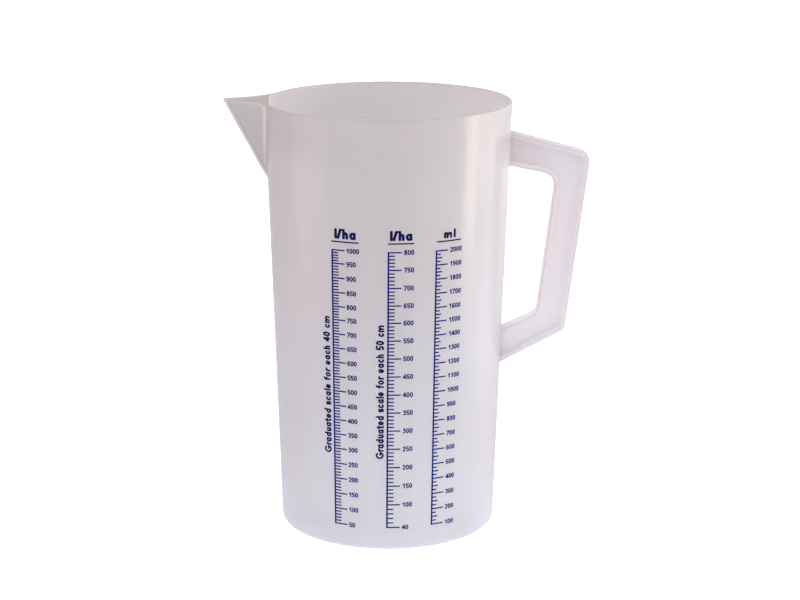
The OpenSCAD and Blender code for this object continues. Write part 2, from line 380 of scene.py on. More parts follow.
# radius and height of the underside, from the small nub at the centre to the foot's rim
NUB_Z = UNDER - 0.45
UNDERSIDE = [
    (2.2, NUB_Z), (2.8, UNDER - 0.4), (3.2, UNDER), (18, UNDER), (38, UNDER),
    (RECESS_R - 1.0, UNDER), (RECESS_R - 0.3, UNDER - 0.3), (RECESS_R, UNDER - 1.0),
    (RECESS_R + 0.05, 0.35), (RECESS_R + 0.35, 0.0),
]
HEEL_STEPS = 12
FILLET_STEPS = 10
FLOOR_RINGS = (45, 30, 15, 5)


def shell_mesh():
    bm = bmesh.new()
    rows = [round_row(bm, r, z) for r, z in UNDERSIDE]
    heel_r = FOOT_R + SLOPE * HEEL - HEEL / math.cos(LEAN)
    for i in range(HEEL_STEPS + 1):
        a = -math.pi / 2 + (math.pi / 2 - LEAN) * i / HEEL_STEPS
        rows.append(round_row(bm, heel_r + HEEL * math.cos(a), HEEL + HEEL * math.sin(a)))
    fan(bm, bm.verts.new(Vector((0, 0, NUB_Z * MM))), rows[0])

    for i in range(1, WALL_ROWS + 1):
        z = HEEL + 1 + (FOOT_OUT - HEEL - 1) * i / WALL_ROWS
        rows.append(wall_row(bm, z, outer_r))
    rows_out = [wall_row(bm, z, outer_r, spread) for z, spread in LEVELS_OUT]
    rows_in = [wall_row(bm, z, inner_r, spread) for z, spread in LEVELS_IN]
    rim = rim_rows(bm, wall_angles(SPREAD_OUT), wall_angles(SPREAD_IN))
    rows += rows_out + rim + list(reversed(rows_in))

    # inside wall below the spout, fillet, floor
    for i in range(WALL_ROWS + 1):
        z = FOOT_IN - (FOOT_IN - FLOOR_TOP - FLOOR_FILLET - 1.0) * i / WALL_ROWS
        rows.append(wall_row(bm, z, inner_r))
    fillet_r = FLOOR_R + SLOPE * FLOOR_FILLET - FLOOR_FILLET / math.cos(LEAN)
    for i in range(FILLET_STEPS + 1):
        a = -LEAN - (math.pi / 2 - LEAN) * i / FILLET_STEPS
        rows.append(round_row(bm, fillet_r + FLOOR_FILLET * math.cos(a),
                              FLOOR_TOP + FLOOR_FILLET + FLOOR_FILLET * math.sin(a)))
    rows += [round_row(bm, r, FLOOR_TOP) for r in FLOOR_RINGS]
    skin_rows(bm, rows)
    fan(bm, bm.verts.new(Vector((0, 0, FLOOR_TOP * MM))), rows[-1], flip=True)

    foot_out = prow_foot(bm, OUTER, FOOT_OUT)
    foot_in = prow_foot(bm, INNER, FOOT_IN)
    close_seams(bm, foot_out, foot_in, rows_out, rows_in, rim)
    return bm


# ---------------------------------------------------------------- spout
def spout_row(bm, z, spread, skin):
    row = []
    for phi, height in spout_columns(z, spread, skin):
        normal = Vector((-NORM_X, -math.copysign(NORM_Y, phi), -NORM_Z))
        row.append(bm.verts.new(jug_point(phi, skin.radius(phi, z), z) + normal * height * MM))
    return row


def rim_angles(spread, skin):
    return [phi for phi, _ in spout_columns(HEIGHT - RIM_ROUND, spread, skin)]


def spout_mesh():
    bm = bmesh.new()
    rows_out = [spout_row(bm, z, spread, OUTER) for z, spread in LEVELS_OUT]
    rows_in = [spout_row(bm, z, spread, INNER) for z, spread in LEVELS_IN]
    rim = rim_rows(bm, rim_angles(SPREAD_OUT, OUTER), rim_angles(SPREAD_IN, INNER))
    foot_out = prow_foot(bm, OUTER, FOOT_OUT)
    foot_in = prow_foot(bm, INNER, FOOT_IN)
    skin_rows(bm, rows_out + rim + list(reversed(rows_in)))
    fan(bm, foot_out, rows_out[0])
    fan(bm, foot_in, rows_in[0], flip=True)
    close_seams(bm, foot_out, foot_in, rows_out, rows_in, rim)
    return bm


vessel = finish_mesh("vessel_shell", shell_mesh())
spout = finish_mesh("spout_panels", spout_mesh())


# ---------------------------------------------------------------- handle
handle_lo, handle_hi = box_mm("handle")
GRIP_HALF = (handle_hi[1] - handle_lo[1]) / 2
FLANGE = 2.2
WEB_HALF = 1.0
IN_WALL = 58.0                   # x of the outlines' ends, inside the vessel's wall
SINK = 0.35                      # the handle's ends stop this far below the wall's surface
# x, z and corner radius of the handle's outside and of the finger gap
OUTLINE = [(IN_WALL, 90.2, 0), (100.4, 112.8, 4.5), (113.1, 214.1, 6), (IN_WALL, 228.4, 0)]
GAP = [(IN_WALL, 109.9, 0), (84.3, 122.0, 6), (93.9, 201.7, 8), (IN_WALL, 209.06, 0)]
# steps of the two straight ends, crowded a little towards the wall
ROOT_SHARES = [0.0, 0.02, 0.05, 0.1, 0.2, 0.35, 0.52, 0.7, 0.86]
SIDE_STEPS = len(ROOT_SHARES)
CORNER_STEPS = 12
WEB_COLUMNS = 4

EDGE = 0.55                      # rounding of the flange's outer edges
ROOT = 0.7                       # fillet between flange and web
ARC = 0.134                      # 1 - cos 30 degrees, for points a third of the way round
# Offset from the outline and distance from the middle plane, over one flange to the web.
# The gap's flange is the same with the offsets turned round.
FLANGE_SECTION = [
    (0, 0.0), (0, GRIP_HALF * 0.5), (0, GRIP_HALF - EDGE),
    (-EDGE * ARC, GRIP_HALF - EDGE * 0.5), (-EDGE * 0.5, GRIP_HALF - EDGE * ARC),
    (-EDGE, GRIP_HALF), (-FLANGE + 0.35, GRIP_HALF), (-FLANGE + 0.1, GRIP_HALF - 0.1),
    (-FLANGE, GRIP_HALF - 0.35), (-FLANGE - 0.05, WEB_HALF + ROOT + 0.6),
    (-FLANGE - 0.1, WEB_HALF + ROOT), (-FLANGE - 0.1 - ROOT * ARC, WEB_HALF + ROOT * 0.5),
    (-FLANGE - 0.1 - ROOT * 0.5, WEB_HALF + ROOT * ARC), (-FLANGE - 0.1 - ROOT, WEB_HALF),
]


def offset_path(outline, offset):
    """Open path along three sides of an outline moved by offset (outward positive), wall to
    wall. All paths have the same number of points."""
    corners = [Vector((p[0], p[1])) for p in outline]
    normals = []
    for a, b in zip(corners, corners[1:]):
        along = (b - a).normalized()
        normals.append(Vector((along.y, -along.x)))
    moved = [corners[0] + normals[0] * offset]
    for corner, before, after in zip(corners[1:], normals, normals[1:]):
        moved.append(corner + (before + after) / (1 + before.dot(after)) * offset)
    moved.append(corners[-1] + normals[-1] * offset)

    path = []
    last = moved[0]
    for i in (1, 2):
        radius = max(0.25, outline[i][2] + offset)
        back = (moved[i - 1] - moved[i]).normalized()
        ahead = (moved[i + 1] - moved[i]).normalized()
        half = math.acos(max(-1, min(1, back.dot(ahead)))) / 2
        tangent = radius / math.tan(half)
        start, end = moved[i] + back * tangent, moved[i] + ahead * tangent
        centre = moved[i] + (back + ahead).normalized() * radius / math.sin(half)
        path += [last.lerp(start, j / SIDE_STEPS) for j in range(SIDE_STEPS)]
        a0 = math.atan2(start.y - centre.y, start.x - centre.x)
        a1 = math.atan2(end.y - centre.y, end.x - centre.x)
        while a1 < a0 - math.pi:
            a1 += 2 * math.pi
        while a1 > a0 + math.pi:
            a1 -= 2 * math.pi
        for j in range(CORNER_STEPS + 1):
            angle = a0 + (a1 - a0) * j / CORNER_STEPS
            path.append(centre + Vector((math.cos(angle), math.sin(angle))) * radius)
        last = end
    path += [last.lerp(moved[3], j / SIDE_STEPS) for j in range(1, SIDE_STEPS + 1)]
    return path


def trim_to_wall(path, y):
    """Moves the two straight ends so that they stop just inside the wall's outer surface."""
    for ends in (range(SIDE_STEPS + 1), range(-1, -SIDE_STEPS - 2, -1)):
        inside, outside = path[ends[0]], path[ends[-1]]

        def is_out(share):
            p = inside.lerp(outside, share)
            return math.hypot(p.x, y) >= wall_r(p.y) - SINK

        root = inside.lerp(outside, bisect(0.0, 1.0, is_out))
        for j, share in zip(ends, ROOT_SHARES):
            path[j] = root.lerp(outside, share)
    return path


def handle_mesh():
    bm = bmesh.new()
    outer = [(trim_to_wall(offset_path(OUTLINE, offset), y), y) for offset, y in FLANGE_SECTION]
    inner = [(trim_to_wall(offset_path(GAP, -offset), y), y)
             for offset, y in reversed(FLANGE_SECTION)]
    web = [([p.lerp(q, k / WEB_COLUMNS) for p, q in zip(outer[-1][0], inner[0][0])], WEB_HALF)
           for k in range(1, WEB_COLUMNS)]
    half = outer + web + inner
    loop = half + [(path, -y) for path, y in reversed(half[1:-1])]
    rings = [[bm.verts.new(Vector((path[s].x, -y, path[s].y)) * MM) for path, y in loop]
             for s in range(len(loop[0][0]))]
    count = len(loop)
    for a, b in zip(rings, rings[1:]):
        for i in range(count):
            j = (i + 1) % count
            bm.faces.new([a[i], a[j], b[j], b[i]])

    # end faces, out of sight in the wall: strips between the two halves of the section
    last = len(half) - 1
    for ring, flip in ((rings[0], False), (rings[-1], True)):
        for i in range(1, last):
            corners = [ring[i], ring[i + 1]]
            if i + 1 < last:
                corners.append(ring[count - i - 1])
            corners.append(ring[count - i])
            bm.faces.new(list(reversed(corners)) if flip else corners)
        bm.faces.new([ring[0], ring[1], ring[-1]])
    return bm


# Round witness mark of an ejector pin on each face of the web: a low raised ring.
MARK_X, MARK_Z = 85.2, 109.3
MARK_R, MARK_TUBE = 0.95 * MM, 0.10 * MM
MARK_AROUND, MARK_TUBE_STEPS = 32, 8


def add_ring_mark(bm, side):
    centre = Vector((MARK_X, side * WEB_HALF, MARK_Z)) * MM
    normal = Vector((0, side, 0))
    up = Vector((0, 0, 1))
    across = normal.cross(up).normalized()
    rows = []
    for i in range(MARK_AROUND):
        a = 2 * math.pi * i / MARK_AROUND
        out = across * math.cos(a) + up * math.sin(a)
        row = []
        for j in range(MARK_TUBE_STEPS):
            b = 2 * math.pi * j / MARK_TUBE_STEPS
            row.append(bm.verts.new(centre + out * (MARK_R + MARK_TUBE * math.cos(b))
                                    + normal * MARK_TUBE * math.sin(b) * 0.8))
        rows.append(row)
    for i, a in enumerate(rows):
        b = rows[(i + 1) % MARK_AROUND]
        for j in range(MARK_TUBE_STEPS):
            k = (j + 1) % MARK_TUBE_STEPS
            bm.faces.new([a[j], b[j], b[k], a[k]])


handle_bm = handle_mesh()
for side in (-1, 1):
    add_ring_mark(handle_bm, side)
handle = finish_mesh("handle_grip", handle_bm, sharp_angle=40)


# ---------------------------------------------------------------- printing: ink on the wall
INK_LOW, INK_HIGH = -0.02, 0.075     # the ink's two faces, from the wall's surface
INK_ANGLE = 25


def ink_point(azimuth, z, offset):
    r = skin_r(wrap(azimuth + math.pi / 2), z) + offset
    return Vector((r * math.sin(azimuth), -r * math.cos(azimuth), z)) * MM


def add_ink(bm, polys, places):
    """Flat polygons become a closed thin solid on the wall. places: azimuth and height."""
    top, bottom = [], []
    for azimuth, z in places:
        top.append(bm.verts.new(ink_point(azimuth, z, INK_HIGH)))
        bottom.append(bm.verts.new(ink_point(azimuth, z, INK_LOW)))
    edges = {}
    for poly in polys:
        bm.faces.new([top[i] for i in poly])
        bm.faces.new([bottom[i] for i in reversed(poly)])
        for edge in zip(poly, poly[1:] + poly[:1]):
            edges[edge] = True
    for i, j in edges:
        if (j, i) not in edges:
            bm.faces.new([top[j], top[i], bottom[i], bottom[j]])


# ---------------------------------------------------------------- printing: lettering
# A plain round-ended lettering of centre lines: straight runs and arcs, in units of the
# capital height.
def line(*points):
    return [np.array(points, dtype=float)]


def arc(cx, cy, rx, ry, start, end, count=18):
    t = np.radians(np.linspace(start, end, count))
    return [np.stack([cx + rx * np.cos(t), cy + ry * np.sin(t)], 1)]


def thin(strokes, share):
    """The same strokes at a share of the full stroke width."""
    return [np.concatenate([s, np.full((len(s), 1), share)], 1) for s in strokes]


def lettering(stroke):
    """Width and centre lines of each sign."""
    half = stroke / 2
    top, low = 1 - half, 0.70 - half            # centre lines of tall and of low letters
    rx, ry = 0.27 - half, (low - half) / 2      # the bowl of the low letters
    cx, cy = 0.27, (low + half) / 2
    right = 0.27 + rx
    s_rx, s_ry = 0.155, (low - half) / 4
    two_rx, two_ry = 0.26 - half, 0.30 - half
    arch = 0.245 - half
    bowl = arc(cx, cy, rx, ry, 0, 360, 28)
    return {
        "0": (0.56, arc(0.28, 0.5, 0.28 - half, 0.5 - half, 0, 360, 32)),
        "1": (0.56, line((0.36, half), (0.36, top), (0.30, top - 0.07), (0.13, top - 0.19))),
        "2": (0.56, arc(0.28, 0.70, two_rx, two_ry, 165, -25)
              + line((0.28 + two_rx * 0.906, 0.70 - two_ry * 0.4226),
                     (0.05 + half, half), (0.54 - half, half))),
        "3": (0.56, arc(0.27, 0.735, 0.245 - half, 0.265 - half, 142, -90)
              + arc(0.27, 0.295 + half / 2, 0.28 - half, 0.295 - half / 2, 90, -142)),
        "4": (0.56, line((0.40, half), (0.40, top), (0.05, 0.31), (0.55, 0.31))),
        "5": (0.56, line((0.51, top), (0.15, top), (0.10, 0.53))
              + arc(0.275, 0.325, 0.285 - half, 0.325 - half, 128, -142)),
        "6": (0.56, arc(0.285, 0.33, 0.275 - half, 0.33 - half, 0, 360, 28)
              + arc(0.33, 0.42, 0.32 - half, 0.58 - half, 180, 62)),
        "7": (0.56, line((0.04, top), (0.52, top), (0.36, 0.62), (0.26, 0.34), (0.22, half))),
        "8": (0.56, arc(0.28, 0.745, 0.235 - half, 0.255 - half, 0, 360, 26)
              + arc(0.28, 0.295, 0.275 - half, 0.295 - half, 0, 360, 28)),
        "9": (0.56, arc(0.275, 0.67, 0.275 - half, 0.33 - half, 0, 360, 28)
              + arc(0.23, 0.58, 0.32 - half, 0.58 - half, 0, -118)),
        "a": (0.56, bowl + line((right, half), (right, low))),
        "d": (0.56, bowl + line((right, half), (right, top))),
        "o": (0.58, arc(0.29, cy, 0.29 - half, ry, 0, 360, 28)),
        "c": (0.50, arc(cx, cy, rx, ry, 48, 312, 22)),
        "e": (0.56, arc(cx, cy, rx, ry, -4, 300, 24)
              + thin(line((cx - rx, cy - 0.02), (cx + rx, cy - 0.02)), 0.74)),
        "r": (0.33, line((half, half), (half, low))
              + arc(half + 0.23, low - 0.24, 0.23, 0.24, 178, 85, 10)),
        "u": (0.50, line((half, low), (half, 0.28))
              + arc(0.25, 0.28, 0.25 - half, 0.28 - half, 180, 360)
              + line((0.50 - half, 0.28), (0.50 - half, low))
              + line((0.50 - half, 0.28), (0.50 - half, half))),
        "t": (0.34, line((0.15, 0.90 - half), (0.15, 0.22))
              + arc(0.28, 0.22, 0.13, 0.22 - half, 180, 275, 8)
              + line((0.03, low), (0.30, low))),
        "s": (0.43, arc(0.215, low - s_ry, s_rx, s_ry, 35, 270)
              + arc(0.215, half + s_ry, s_rx, s_ry, 90, -145)),
        "f": (0.33, line((0.14, half), (0.14, 0.80))
              + arc(0.27, 0.80, 0.13, 0.20 - half, 180, 85, 8)
              + line((0.03, low), (0.29, low))),
        "l": (0.18, line((half, half), (half, top))),
        "m": (0.86, line((half, half), (half, low))
              + arc(0.245, low - 0.17, arch, 0.17, 180, 0, 12)
              + line((0.49 - half, low - 0.17), (0.49 - half, half))
              + arc(0.615, low - 0.17, arch, 0.17, 180, 0, 12)
              + line((0.86 - half, low - 0.17), (0.86 - half, half))),
        "h": (0.50, line((half, half), (half, top))
              + arc(0.25, low - 0.20, 0.25 - half, 0.20, 180, 0, 14)
              + line((0.50 - half, low - 0.20), (0.50 - half, half))),
        "G": (0.86, arc(0.45, 0.5, 0.45 - half, 0.5 - half, 48, 350, 30)
              + line((0.50, 0.44), (0.895 - half, 0.44), (0.885 - half, 0.36))),
        "/": (0.46, line((half, half), (0.30, top - 0.06))
              + arc(0.37, top - 0.10, 0.085, 0.10, 145, 75, 6)),
        " ": (0.30, []),
    }


@lru_cache(maxsize=None)
def sign_plan(sign, stroke, cell):
    """Polygons and points of a sign's area, traced on a grid of the given cell size."""
    strokes = lettering(stroke)[sign][1]
    segments = np.concatenate([np.concatenate([s[:-1, :2], s[1:, :2]], 1) for s in strokes])
    shares = np.concatenate([np.full(len(s) - 1, s[0, 2] if s.shape[1] > 2 else 1.0)
                             for s in strokes])
    half = stroke / 2
    ends = segments.reshape(-1, 2)
    low = ends.min(0) - half - 1.5 * cell
    high = ends.max(0) + half + 1.5 * cell
    nx, ny = (int(v) + 2 for v in (high - low) / cell)
    grid_x = low[0] + cell * np.arange(nx)
    grid_y = low[1] + cell * np.arange(ny)
    px, py = np.meshgrid(grid_x, grid_y, indexing="ij")
    nearest = np.full(px.shape, 1e9)
    for (x0, y0, x1, y1), share in zip(segments, shares):
        dx, dy = x1 - x0, y1 - y0
        t = np.clip(((px - x0) * dx + (py - y0) * dy) / max(dx * dx + dy * dy, 1e-12), 0, 1)
        distance = np.hypot(px - x0 - t * dx, py - y0 - t * dy)
        nearest = np.minimum(nearest, distance + half * (1 - share))
    depth = half - nearest                      # positive inside the sign
    depth[np.abs(depth) < 0.06 * cell] = 0.06 * cell
    points, polys, index = [], [], {}

    def corner(node):
        if node not in index:
            index[node] = len(points)
            points.append((grid_x[node[0]], grid_y[node[1]]))
        return index[node]

    def crossing(*nodes):
        """Point on a grid edge where the outline crosses it."""
        key = a, b = tuple(sorted(nodes))
        if key not in index:
            # the share runs from the end at which the edge was first met
            a, b = nodes
            t = min(0.94, max(0.06, depth[a] / (depth[a] - depth[b])))
            index[key] = len(points)
            points.append((grid_x[a[0]] + (grid_x[b[0]] - grid_x[a[0]]) * t,
                           grid_y[a[1]] + (grid_y[b[1]] - grid_y[a[1]]) * t))
        return index[key]

    for i in range(nx - 1):
        for j in range(ny - 1):
            nodes = [(i, j), (i + 1, j), (i + 1, j + 1), (i, j + 1)]
            inside = [depth[node] > 0 for node in nodes]
            poly = []
            for k in range(4):
                n = (k + 1) % 4
                if inside[k]:
                    poly.append(corner(nodes[k]))
                if inside[k] != inside[n]:
                    poly.append(crossing(nodes[k], nodes[n]))
            if poly:
                polys.append(poly)
    return polys, points


def add_text(bm, text, starts, stroke, cell, place):
    """Inks each sign; place(start, u, v) gives the azimuth and height of a plan point."""
    for sign, start in zip(text, starts):
        if sign != " ":
            polys, points = sign_plan(sign, stroke, cell)
            add_ink(bm, polys, [place(start, u, v) for u, v in points])


# ---------------------------------------------------------------- printing: the three scales
# Each entry: line: azimuth in degrees of the scale's line at 2000 and at 100 ml.
# stray: how far marks stray from the true volumes, as (millilitres, mm of height).
# marks: (millilitres, tick length). numerals: (text, millilitres).
# numeral_gap: from the line to the left edge. pitch: from digit to digit.
# heading: text, left edge, sign starts in capital heights, capital height, foot above the
# 2000 ml mark, left end and length of the rule below it.
SLASH_STARTS = [0.0, 0.24, 0.80, 1.49]
SCALES = {
    "ml": dict(
        line=(22.65, 23.05),
        stray=((100, -0.25), (400, 0.15), (700, -0.4), (1300, -0.6), (1600, -1.0), (2000, -0.3)),
        marks=[(v, 7.4 if v % 100 == 0 else (3.95 if v % 50 == 0 else 3.05))
               for v in range(100, 2001, 25)],
        numerals=[(str(v), v) for v in range(100, 2001, 100)],
        numeral_gap=8.75, pitch=1.95,
        heading=("ml", 4.75, [0.0, 1.21], 5.0, 6.2, 0.5, 15.2)),
    "lha40": dict(
        line=(-27.25, -28.5),
        stray=((100, -0.2), (600, 0.0), (900, -0.4), (1500, -0.25), (1650, -0.75), (1900, 0.2),
               (2000, 0.0)),
        marks=[(v * 2, 7.75 if v % 50 == 0 else 4.1) for v in range(50, 1001, 10)],
        numerals=[(str(v), v * 2) for v in range(50, 1001, 50)],
        numeral_gap=8.65, pitch=1.86,
        heading=("l/ha", 2.0, SLASH_STARTS, 5.8, 6.3, 0.0, 15.9)),
    "lha50": dict(
        line=(-0.15, -0.75),
        stray=((100, -0.4), (600, -0.55), (1000, -0.9), (1500, -0.6), (1700, -0.85),
               (1900, -0.2), (2000, -0.1)),
        marks=[((40 + 12 * i) * 2.5, 7.55 if i == 0 else 3.95) for i in range(5)]
        + [(v * 2.5, 7.55 if v % 50 == 0 else 3.95) for v in range(100, 801, 10)],
        numerals=[("40", 100.0)] + [(str(v), v * 2.5) for v in range(100, 801, 50)],
        numeral_gap=8.75, pitch=1.92,
        heading=("l/ha", 1.2, SLASH_STARTS, 5.7, 6.3, 0.1, 14.1)),
}
# Text, azimuths in degrees of its feet at its start and end, and heights of start and end.
CAPTIONS = {
    "lha40": ("Graduated scale for each 40 cm", (-29.5, -28.9), 55.0, 133.6),
    "lha50": ("Graduated scale for each 50 cm", (-1.95, -1.75), 54.0, 130.7),
}
Z_TOP, Z_LOW = volume_z(2000), volume_z(100)
LINE = 0.72                      # thickness of ticks and of the headings' rules
SPINE = 0.90                     # width of a scale's vertical line
TICK_STEP = 1.2                  # rough length of one quad of a tick
RULE_Z = Z_TOP + 4.75
RULE_STEPS = 14
# Lettering: stroke, grid cell and gap in capital heights, height in mm, wide as a factor.
NUMERAL = dict(stroke=0.187, cell=0.045, height=2.85, wide=1.12)
HEADING = dict(stroke=0.225, cell=0.028, wide=1.16)
CAPTION = dict(stroke=0.212, cell=0.035, height=4.5, gap=0.09)


def line_azimuth(scale, z):
    upper, lower = (math.radians(a) for a in scale["line"])
    return lower + (upper - lower) * (z - Z_LOW) / (Z_TOP - Z_LOW)


def mark_z(scale, ml):
    volumes, strays = zip(*scale["stray"])
    return volume_z(ml) + float(np.interp(ml, volumes, strays))


def print_comb(name, scale):
    """Vertical line with ticks, as one plan of quads: u runs from the line, v is the height."""
    points, polys, index = [], [], {}

    def vert(u, v):
        key = (round(u, 5), round(v, 5))
        if key not in index:
            index[key] = len(points)
            points.append((u, v))
        return index[key]

    def quad(u0, u1, v0, v1):
        polys.append([vert(u0, v0), vert(u1, v0), vert(u1, v1), vert(u0, v1)])

    below = None
    levels = [(mark_z(scale, ml), length) for ml, length in scale["marks"]]
    for i, (z, length) in enumerate(levels):
        low, high = z - LINE / 2, z + LINE / 2
        quad(0, SPINE, low, high)
        tick = length - SPINE
        n = max(1, int(round(tick / TICK_STEP)))
        for j in range(n):
            quad(SPINE + tick * j / n, SPINE + tick * (j + 1) / n, low, high)
        if i + 1 < len(levels):
            quad(0, SPINE, high, levels[i + 1][0] - LINE / 2)
    bm = bmesh.new()
    add_ink(bm, polys, [(line_azimuth(scale, v) + u / wall_r(v), v) for u, v in points])
    return finish_mesh(name, bm, INK_ANGLE)


def print_numerals(name, scale):
    bm = bmesh.new()
    height, wide = NUMERAL["height"], NUMERAL["wide"]
    pitch = scale["pitch"] / height / wide
    for text, ml in scale["numerals"]:
        z = mark_z(scale, ml)
        base = line_azimuth(scale, z)

        def place(start, u, v):
            along = scale["numeral_gap"] + (u + start) * height * wide
            return base + along / wall_r(z), z - height / 2 + v * height

        starts = [pitch * n for n in range(len(text))]
        add_text(bm, text, starts, NUMERAL["stroke"], NUMERAL["cell"], place)
    return finish_mesh(name, bm, INK_ANGLE)


def print_heading(name, scale):
    bm = bmesh.new()
    text, left, starts, height, foot, rule_left, rule_length = scale["heading"]
    foot_z = Z_TOP + foot
    base = line_azimuth(scale, Z_TOP)

    def place(start, u, v):
        along = left + (u * HEADING["wide"] + start) * height
        return base + along / wall_r(foot_z), foot_z + v * height

    add_text(bm, text, starts, HEADING["stroke"], HEADING["cell"], place)
    n = RULE_STEPS
    places = [(base + (rule_left + rule_length * i / n) / wall_r(RULE_Z), RULE_Z + v)
              for v in (-LINE / 2, LINE / 2) for i in range(n + 1)]
    add_ink(bm, [[i, i + 1, n + 2 + i, n + 1 + i] for i in range(n)], places)
    return finish_mesh(name, bm, INK_ANGLE)


def print_caption(name, text, feet, z_start, z_end):
    """Words that run up the wall, with their feet on an azimuth to the right."""
    bm = bmesh.new()
    signs = lettering(CAPTION["stroke"])
    starts = [0.0]
    for sign in text:
        starts.append(starts[-1] + (signs[sign][0] + CAPTION["gap"]))
    unit = (z_end - z_start) / (starts.pop() - CAPTION["gap"])
    first, last = (math.radians(a) for a in feet)

    def place(start, u, v):
        z = z_start + (u + start) * unit
        foot = first + (last - first) * (z - z_start) / (z_end - z_start)
        return foot - v * CAPTION["height"] / wall_r(z), z

    add_text(bm, text, starts, CAPTION["stroke"], CAPTION["cell"], place)
    return finish_mesh(name, bm, INK_ANGLE)


prints = {}
for kind, build in (("scale", print_comb), ("numerals", print_numerals),
                    ("heading", print_heading)):
    for name, scale in SCALES.items():
        prints[name, kind] = build(f"{name}_{kind}_print", scale)
for name, caption in CAPTIONS.items():
    prints[name, "caption"] = print_caption(f"{name}_caption_print", *caption)


# ---------------------------------------------------------------- painted light and shade
# Painted at each vertex: painted light, strongest along thin edges and ridges, and painted
# shade where the value is negative; both stand in for how the lamps fall on the jug.
# painted shade on the rim's top, which faces the bright sky above
RIM_PAINT = -0.13
RIM_BAND = 0.42                  # depth below the rim of its own paint
# painted light over the whole of the vessel's inside
INSIDE_PAINT = 0.86
# share, centre, width of a stretch of painted shade on the vessel's inside; degrees from +X towards
# +Y
INSIDE_DIM = (0.17, 128.0, 26.0)
# painted light along the foot
FOOT_PAINT = 0.20
# painted light round the handle's roots, lifting the shadow that the handle casts on the wall
ROOT_PAINT, ROOT_WIDTH = 0.42, 24.0     # round the handle's roots; width in degrees
# painted light: share; centre and width in degrees from +X towards +Y; centre and width in height
LIGHT_PATCHES = [(1.0, 0.0, 17.0, 213.0, 15.0),
         (0.33, -35.0, 12.0, 135.0, 70.0)]
# painted shade: share; centre and width in the same degrees; heights where it starts and is full
SHADE_PATCHES = [(0.20, -22.0, 12.0, 212.0, 230.0),
        (0.13, -140.0, 22.0, 210.0, 230.0),
        (0.10, -160.0, 13.0, 60.0, 190.0),
        (0.10, -46.0, 15.0, 24.0, 6.0),
        (0.05, -130.0, 14.0, 24.0, 6.0)]
# on the spout's inside: painted light up to x = 65.9, up to x = 67.7, and towards the tip
STRIP_ENDS, STRIP_PAINTS = (65.9, 67.7), (0.62, 0.78)
# the tip's painted light, and faint painted shade on the rest of the spout's inside
TIP_PAINT, TIP_BASE = 0.4, -0.06
# painted highlights along the spout's rim and along the ridge on its panels
SPOUT_RIM_PAINT, RIM_FADE = 0.25, 0.6
RIDGE_WIDTH = 0.60
# on the handle: painted highlights at the gap's edge, the flange's inner corner and inner face;
# painted shade on the outside, the flange's rim and the web at the upper root
GAP_PAINT, OUTSIDE_PAINT = 1.0, -0.12
CORNER_PAINT, CORNER_WIDTH, FLANGE_PAINT = 0.95, 0.24, -0.13
FACE_PAINT, WEB_PAINT = 0.15, -0.07


def paint(ob, painted_light):
    mesh = ob.data
    values = [painted_light(v.co / MM) for v in mesh.vertices]
    for name, sign in (("painted_light", 1.0), ("painted_shade", -1.0)):
        attribute = mesh.attributes.new(name, "FLOAT", "POINT")
        attribute.data.foreach_set("value", [max(0.0, sign * v) for v in values])


def shell_light(p):
    angle = math.degrees(math.atan2(p.y, p.x))
    if p.z > HEIGHT - RIM_BAND:
        return RIM_PAINT
    if p.z > FLOOR_TOP - 0.2 and math.hypot(p.x, p.y) < wall_r(p.z) - 1.0:
        share, centre, width = INSIDE_DIM
        return INSIDE_PAINT - share * bell(angle - centre, width)
    # painted light round the handle's roots and along the foot, then patches of painted light and
    # shade
    root = bell(angle, ROOT_WIDTH) * min(ramp(p.z, 88.0, 110.0), ramp(p.z, 228.0, 212.0))
    value = FOOT_PAINT * bell(p.z - 1.0, 2.0) + ROOT_PAINT * root
    for share, centre, width, z, z_width in LIGHT_PATCHES:
        value += share * bell(angle - centre, width) * bell(p.z - z, z_width)
    for share, centre, width, z_start, z_full in SHADE_PATCHES:
        value -= share * bell(angle - centre, width) * ramp(p.z, z_start, z_full)
    return min(1.0, value)


def spout_light(p):
    x = -p.x
    depth = panel_level(p.z, 0.0) - (x * NORM_X + abs(p.y) * NORM_Y)
    outside = depth < 1.2
    if p.z > HEIGHT - RIM_BAND and x < 69.0:
        return RIM_PAINT
    if not outside and p.z < HEIGHT - RIM_BAND:
        # painted light: a paler strip between the panel and the inside, standing in for the wall's
        # cut end
        for end, value in zip(STRIP_ENDS, STRIP_PAINTS):
            if x < end:
                return value
        return TIP_PAINT * ramp(x, REACH - 14.0, REACH - 3.0) + TIP_BASE
    # painted highlight along the ridge outside, and along the spout's rim
    ridge = 0.0
    if outside:
        from_crest = x - OUTER.ridge_x - RIDGE_LEAN * (HEIGHT - p.z)
        ridge = bell(from_crest, RIDGE_WIDTH) * ramp(p.z, 198, 220)
    return min(1.0, SPOUT_RIM_PAINT * bell(max(0.0, HEIGHT - p.z), RIM_FADE) + ridge)


def path_distance(p, path):
    nearest = 1e9
    for a, b in zip(path, path[1:]):
        dx, dz = b.x - a.x, b.y - a.y
        t = ((p.x - a.x) * dx + (p.z - a.y) * dz) / max(1e-9, dx * dx + dz * dz)
        t = min(1.0, max(0.0, t))
        nearest = min(nearest, math.hypot(p.x - a.x - t * dx, p.z - a.y - t * dz))
    return nearest


OUTER_RAIL, GAP_RAIL = (offset_path(outline, 0.0) for outline in (OUTLINE, GAP))


